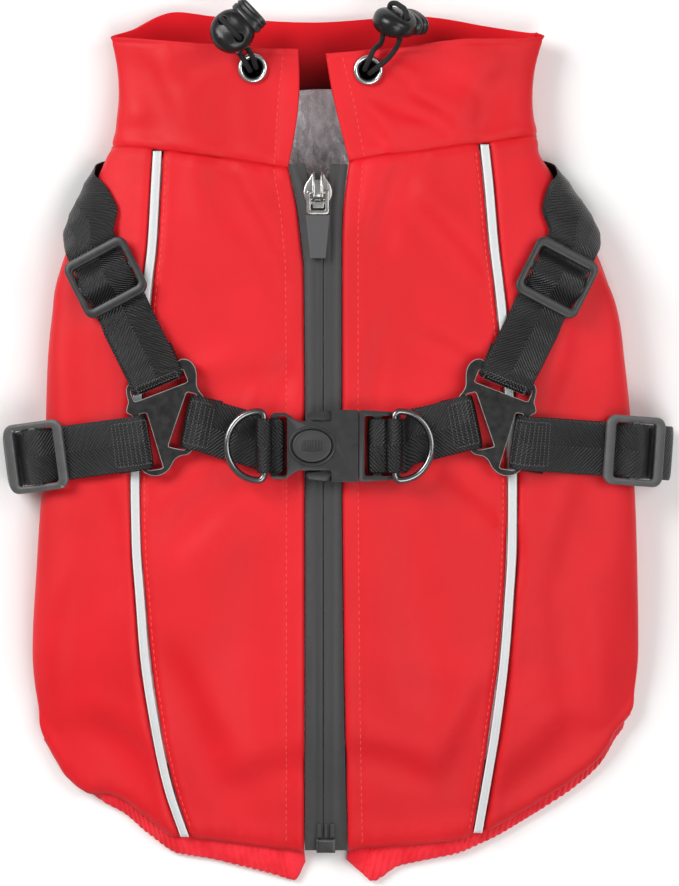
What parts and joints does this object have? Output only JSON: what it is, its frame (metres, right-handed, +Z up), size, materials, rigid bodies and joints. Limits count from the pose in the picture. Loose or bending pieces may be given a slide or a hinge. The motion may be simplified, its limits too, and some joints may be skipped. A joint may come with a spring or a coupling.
{
  "type": "dog coat with built-in harness",
  "caption": "Red softshell dog coat with a stand collar, a back zip, ribbed hem and a black webbing harness with D-rings, lying flat.",
  "frame": {"origin": "middle of the underside of the coat's bounding box, on the table", "axes": "+X to the picture's right, +Y towards the neck, +Z up off the table"},
  "size_m": [0.2363, 0.3087, 0.0393],
  "materials": {
    "softshell": "bright red softshell, smooth, matt with a faint sheen",
    "rib_knit": "red ribbed knit band",
    "fleece": "grey short-pile fleece",
    "reflective": "light grey reflective piping",
    "zip_tape": "dark grey water-resistant zip tape",
    "zip_metal": "bright zip metal",
    "pull_rubber": "matt grey rubber",
    "nickel": "polished nickel",
    "gunmetal": "dark polished gunmetal",
    "webbing": "black woven webbing",
    "moulded": "black moulded plastic",
    "elastic": "black round elastic cord"
  },
  "bodies": {
    "coat": {"adjuster_chest_left": "moulded", "adjuster_chest_right": "moulded", "adjuster_shoulder_left": "moulded", "adjuster_shoulder_right": "moulded", "back_left": "softshell", "back_right": "softshell", "belly": "softshell", "belly_strap": "webbing", "buckle_button": "moulded", "buckle_female": "moulded", "buckle_male": "moulded", "centre_strap_left": "webbing", "centre_strap_right": "webbing", "chest_strap_left": "webbing", "chest_strap_right": "webbing", "collar_facing": "softshell", "collar_outer": "softshell", "cord_left": "elastic", "cord_lock_left": "moulded", "cord_lock_right": "moulded", "cord_right": "elastic", "eyelet_left": "nickel", "eyelet_right": "nickel", "hem_rib_belly": "rib_knit", "hem_rib_left": "rib_knit", "hem_rib_right": "rib_knit", "leg_binding_left": "softshell", "leg_binding_right": "softshell", "lining": "fleece", "piping_left": "reflective", "piping_right": "reflective", "plate_left": "moulded", "plate_right": "moulded", "ring_loop_left": "webbing", "ring_loop_right": "webbing", "shoulder_strap_left": "webbing", "shoulder_strap_right": "webbing", "side_left": "softshell", "side_right": "softshell", "sternum_strap": "webbing", "yoke_strap_left": "webbing", "yoke_strap_right": "webbing", "zip_box": "zip_tape", "zip_slider": "zip_metal", "zip_tape_left": "zip_tape", "zip_tape_right": "zip_tape"},
    "zip_pull": {"zip_pull_frame": "zip_metal", "zip_pull_tab": "pull_rubber"},
    "ring_left": {"d_ring_left": "gunmetal"},
    "ring_right": {"d_ring_right": "gunmetal"},
    "plunger_left": {"lock_plunger_left": "moulded"},
    "plunger_right": {"lock_plunger_right": "moulded"}
  },
  "joints": [
    {"name": "zip_pull_hinge", "type": "hinge", "parent": "coat", "child": "zip_pull", "pos_m": [-0.00705, 0.08821, 0.02785], "axis": [-1, 0, 0], "range_deg": [0, 150]},
    {"name": "ring_left_hinge", "type": "hinge", "parent": "coat", "child": "ring_left", "pos_m": [-0.02585, -0.00151, 0.03573], "axis": [0, 1, 0], "range_deg": [0, 120]},
    {"name": "ring_right_hinge", "type": "hinge", "parent": "coat", "child": "ring_right", "pos_m": [0.01975, -0.00151, 0.03433], "axis": [0, -1, 0], "range_deg": [0, 120]},
    {"name": "plunger_left_slide", "type": "slide", "parent": "coat", "child": "plunger_left", "axis": [-0.7304, -0.6827, 0.0205], "range_m": [0, 0.003], "stiffness_N_per_m": 800},
    {"name": "plunger_right_slide", "type": "slide", "parent": "coat", "child": "plunger_right", "axis": [-0.7393, -0.0549, 0.6712], "range_m": [0, 0.003], "stiffness_N_per_m": 800}
  ]
}
